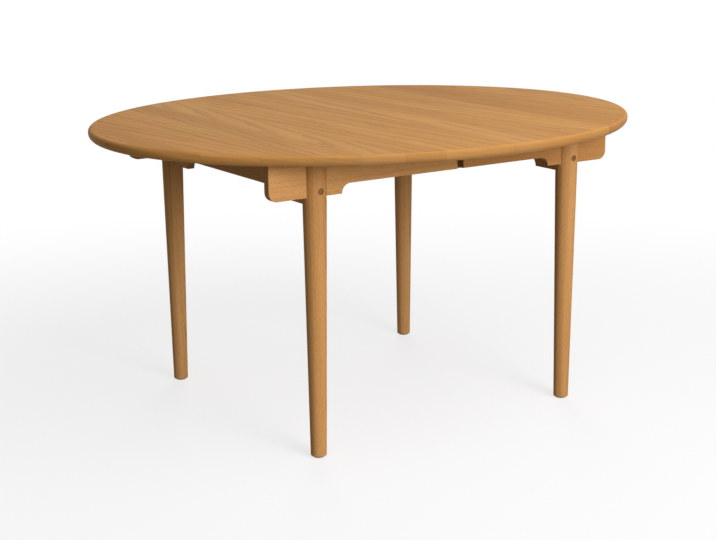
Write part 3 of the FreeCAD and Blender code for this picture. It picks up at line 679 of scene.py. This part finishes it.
def screw_set(name, nodes, body, tree, finish):
    """The screws of these nodes as one piece on a body."""
    seats = [screw_seat(points) for node in nodes for points in islands(node)]
    mesh = bpy.data.meshes.new(name + "_seats")
    mesh.from_pydata([seat for seat, aim, grip in seats], [], [])
    mesh.attributes.new("aim", "FLOAT_VECTOR", "POINT")
    mesh.attributes.new("grip", "FLOAT", "POINT")
    for place, (seat, aim, grip) in enumerate(seats):
        mesh.attributes["aim"].data[place].vector = aim
        mesh.attributes["grip"].data[place].value = grip
    piece = bpy.data.objects.new(name, mesh)
    bpy.context.scene.collection.objects.link(piece)
    modifier = piece.modifiers.new("screws", "NODES")
    modifier.node_group = tree
    sockets = {item.name: item.identifier for item in tree.interface.items_tree if item.in_out == "INPUT"}
    for socket, size in SCREW_SIZES.items():
        modifier[sockets[socket]] = size
    modifier[sockets["Finish"]] = finish
    evaluated = piece.evaluated_get(bpy.context.evaluated_depsgraph_get())
    made = bpy.data.meshes.new_from_object(evaluated)
    made.shade_smooth()
    made.set_sharp_from_angle(angle=SHARP_EDGE)
    piece.modifiers.clear()
    piece.data = made
    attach(piece, body)
    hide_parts(*nodes)


def table_screws(finish):
    tree = screw_tree()
    screw_set("left_screws", ["left_rail_screws", "left_runner_screws"], "left_half", tree, finish)
    screw_set("right_screws", ["right_rail_screws", "right_runner_screws"], "right_half", tree, finish)
    screw_set("carrier_screws", ["batten_screws"], "leaf_carrier", tree, finish)


def looked_at(wiring):
    """One for rays from the camera, and for those that mirrors and glass pass on."""
    rays = wiring.add("ShaderNodeLightPath").outputs
    share = wiring.maths("MAXIMUM", rays["Is Camera Ray"], rays["Is Glossy Ray"])
    return wiring.maths("MAXIMUM", share, rays["Is Transmission Ray"])


def pale_floor():
    """White for the camera away from the table, grey enough near it to keep the shadow."""
    material = bpy.data.materials.new("pale floor")
    w = cleared(material)
    away = w.length(w.add("ShaderNodeTexCoord").outputs["Object"])
    grey = w.add("ShaderNodeBsdfDiffuse", {"Color": colour((FLOOR_GREY,) * 3)})
    glow = w.add("ShaderNodeEmission", {"Color": colour(WHITE), "Strength": 1.0})
    seen = w.add("ShaderNodeMixShader", {
        0: w.spread(away, *SHADOW_REACH, FLOOR_GLOW, 1.0), 1: grey.outputs[0], 2: glow.outputs[0]})
    bounce = w.add("ShaderNodeBsdfDiffuse", {"Color": colour((FLOOR_BOUNCE,) * 3)})
    look = w.add("ShaderNodeMixShader", {0: looked_at(w), 1: bounce.outputs[0], 2: seen.outputs[0]})
    w.add("ShaderNodeOutputMaterial", {"Surface": look.outputs[0]})
    return material


def studio_floor():
    mesh = bpy.data.meshes.new("studio_floor")
    half = FLOOR_SIZE / 2
    corners = [(x, y, -FLOOR_DROP) for x, y in ((-half, -half), (half, -half), (half, half), (-half, half))]
    mesh.from_pydata(corners, [], [(0, 1, 2, 3)])
    mesh.materials.append(pale_floor())
    floor = bpy.data.objects.new("studio_floor", mesh)
    bpy.context.scene.collection.objects.link(floor)


def studio_sky():
    """White behind the table, and a weak even light on it."""
    world = bpy.data.worlds.new("studio")
    bpy.context.scene.world = world
    w = cleared(world)
    strength = w.maths("MULTIPLY_ADD", looked_at(w), 1.0 - SKY_STRENGTH, SKY_STRENGTH)
    sky = w.add("ShaderNodeBackground", {"Color": colour(WHITE), "Strength": strength})
    w.add("ShaderNodeOutputWorld", {"Surface": sky.outputs[0]})


def studio_lamps():
    for name, lamp in LAMPS.items():
        light = bpy.data.lights.new(name, "AREA")
        light.shape = "DISK"
        light.size = lamp["size"]
        light.energy = lamp["power"]
        stand = bpy.data.objects.new(name, light)
        stand.visible_glossy = lamp["mirrored"]
        bpy.context.scene.collection.objects.link(stand)
        stand.location = lamp["place"]
        aim = Vector(LAMP_TARGET) - Vector(lamp["place"])
        stand.rotation_euler = aim.to_track_quat("-Z", "Y").to_euler()


def studio_camera():
    camera = bpy.data.objects.new("camera", bpy.data.cameras.new("camera"))
    bpy.context.scene.collection.objects.link(camera)
    camera.data.sensor_width = SENSOR_WIDTH
    camera.data.lens = FOCAL_PIXELS / PICTURE_WIDTH * SENSOR_WIDTH
    camera.data.shift_x = (PICTURE_WIDTH / 2 - OPTICAL_CENTRE[0]) / PICTURE_WIDTH
    camera.data.shift_y = (OPTICAL_CENTRE[1] - PICTURE_HEIGHT / 2) / PICTURE_WIDTH
    camera.location = CAMERA_PLACE
    level = Euler((math.pi / 2 - CAMERA_PITCH, 0.0, -CAMERA_YAW)).to_matrix()
    camera.rotation_euler = (level @ Matrix.Rotation(CAMERA_ROLL, 3, "Z")).to_euler()
    bpy.context.scene.camera = camera


finishes = table_finishes()
dress(finishes)
table_screws(finishes["batten_screws"])
studio_floor()
studio_sky()
studio_lamps()
studio_camera()
bpy.context.scene.view_settings.view_transform = "Standard"
